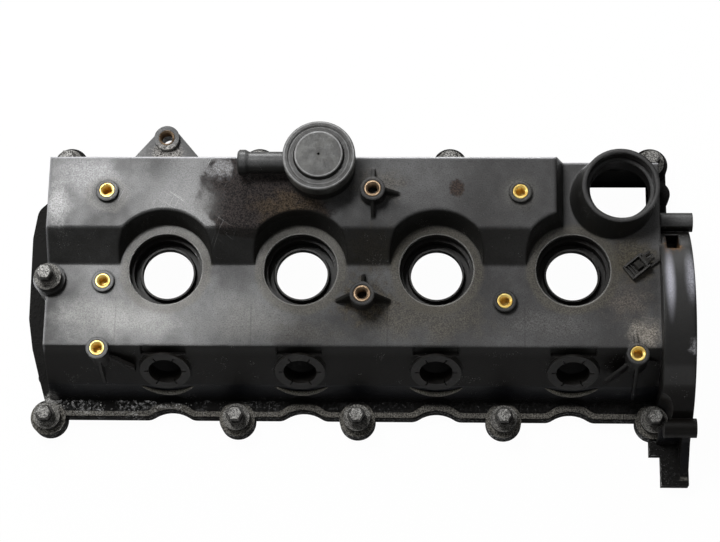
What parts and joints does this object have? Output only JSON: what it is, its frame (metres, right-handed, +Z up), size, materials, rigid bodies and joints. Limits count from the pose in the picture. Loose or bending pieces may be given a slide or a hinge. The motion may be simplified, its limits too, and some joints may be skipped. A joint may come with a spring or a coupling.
{
  "type": "engine valve cover",
  "caption": "Moulded plastic valve cover with injector wells, captive bolts, a breather regulator, an oil filler neck and an arch over the timing gears.",
  "frame": {"origin": "middle of the envelope, on the plane that the gasket seals against", "axes": "+X along the engine to the timing end, +Y from the front bolt row to the rear one, +Z up, away from the cylinder head"},
  "size_m": [0.488, 0.26, 0.1186],
  "materials": {
    "nylon": "satin, glass-filled, worn",
    "cap_plastic": "satin",
    "inner_plastic": "matt",
    "clip_plastic": "satin",
    "gasket_rubber": "matt",
    "seal_rubber": "satin, oiled",
    "grommet_rubber": "matt",
    "bolt_steel": "zinc plated, dulled",
    "sleeve_steel": "zinc plated, dulled",
    "spring_steel": "bright",
    "insert_brass": "bright",
    "insert_bronze": "browned"
  },
  "bodies": {
    "moulding": {"cover": "nylon", "gasket_main": "gasket_rubber", "gasket_timing": "gasket_rubber", "separator_baffle": "inner_plastic", "regulator_cap": "cap_plastic", "diaphragm": "gasket_rubber", "harness_clip": "clip_plastic", "sleeve_1": "sleeve_steel", "grommet_1": "grommet_rubber", "sleeve_2": "sleeve_steel", "grommet_2": "grommet_rubber", "sleeve_3": "sleeve_steel", "grommet_3": "grommet_rubber", "sleeve_4": "sleeve_steel", "grommet_4": "grommet_rubber", "sleeve_5": "sleeve_steel", "grommet_5": "grommet_rubber", "sleeve_6": "sleeve_steel", "grommet_6": "grommet_rubber", "sleeve_7": "sleeve_steel", "grommet_7": "grommet_rubber", "sleeve_8": "sleeve_steel", "grommet_8": "grommet_rubber", "sleeve_9": "sleeve_steel", "grommet_9": "grommet_rubber", "sleeve_10": "sleeve_steel", "grommet_10": "grommet_rubber", "insert_rear_left": "insert_brass", "insert_deck_left": "insert_brass", "insert_front_left": "insert_brass", "insert_rear_right": "insert_brass", "insert_deck_right": "insert_brass", "insert_front_right": "insert_brass", "insert_rear_middle": "insert_bronze", "insert_deck_middle": "insert_bronze", "insert_tab": "insert_bronze", "well_seal_1": "seal_rubber", "tube_seal_1": "seal_rubber", "well_seal_2": "seal_rubber", "tube_seal_2": "seal_rubber", "well_seal_3": "seal_rubber", "tube_seal_3": "seal_rubber", "well_seal_4": "seal_rubber", "tube_seal_4": "seal_rubber", "spring": "spring_steel"},
    "bolt_1_body": {"bolt_1": "bolt_steel"},
    "bolt_2_body": {"bolt_2": "bolt_steel"},
    "bolt_3_body": {"bolt_3": "bolt_steel"},
    "bolt_4_body": {"bolt_4": "bolt_steel"},
    "bolt_5_body": {"bolt_5": "bolt_steel"},
    "bolt_6_body": {"bolt_6": "bolt_steel"},
    "bolt_7_body": {"bolt_7": "bolt_steel"},
    "bolt_8_body": {"bolt_8": "bolt_steel"},
    "bolt_9_body": {"bolt_9": "bolt_steel"},
    "bolt_10_body": {"bolt_10": "bolt_steel"},
    "valve": {"valve_plate": "inner_plastic"}
  },
  "joints": [
    {"name": "bolt_1_press", "type": "slide", "parent": "moulding", "child": "bolt_1_body", "axis": [0, 0, 1], "range_m": [-0.0057, 0]},
    {"name": "bolt_2_press", "type": "slide", "parent": "moulding", "child": "bolt_2_body", "axis": [0, 0, 1], "range_m": [-0.0057, 0]},
    {"name": "bolt_3_press", "type": "slide", "parent": "moulding", "child": "bolt_3_body", "axis": [0, 0, 1], "range_m": [-0.0057, 0]},
    {"name": "bolt_4_press", "type": "slide", "parent": "moulding", "child": "bolt_4_body", "axis": [0, 0, 1], "range_m": [-0.0057, 0]},
    {"name": "bolt_5_press", "type": "slide", "parent": "moulding", "child": "bolt_5_body", "axis": [0, 0, 1], "range_m": [-0.0057, 0]},
    {"name": "bolt_6_press", "type": "slide", "parent": "moulding", "child": "bolt_6_body", "axis": [0, 0, 1], "range_m": [-0.0057, 0]},
    {"name": "bolt_7_press", "type": "slide", "parent": "moulding", "child": "bolt_7_body", "axis": [0, 0, 1], "range_m": [-0.0057, 0]},
    {"name": "bolt_8_press", "type": "slide", "parent": "moulding", "child": "bolt_8_body", "axis": [0, 0, 1], "range_m": [-0.0057, 0]},
    {"name": "bolt_9_press", "type": "slide", "parent": "moulding", "child": "bolt_9_body", "axis": [0, 0, 1], "range_m": [-0.0057, 0]},
    {"name": "bolt_10_press", "type": "slide", "parent": "moulding", "child": "bolt_10_body", "axis": [0, 0, 1], "range_m": [-0.0057, 0]},
    {"name": "valve_lift", "type": "slide", "parent": "moulding", "child": "valve", "axis": [0, 0, 1], "range_m": [-0.002, 0], "stiffness_N_per_m": 150, "deforming": ["spring", "diaphragm"]}
  ]
}
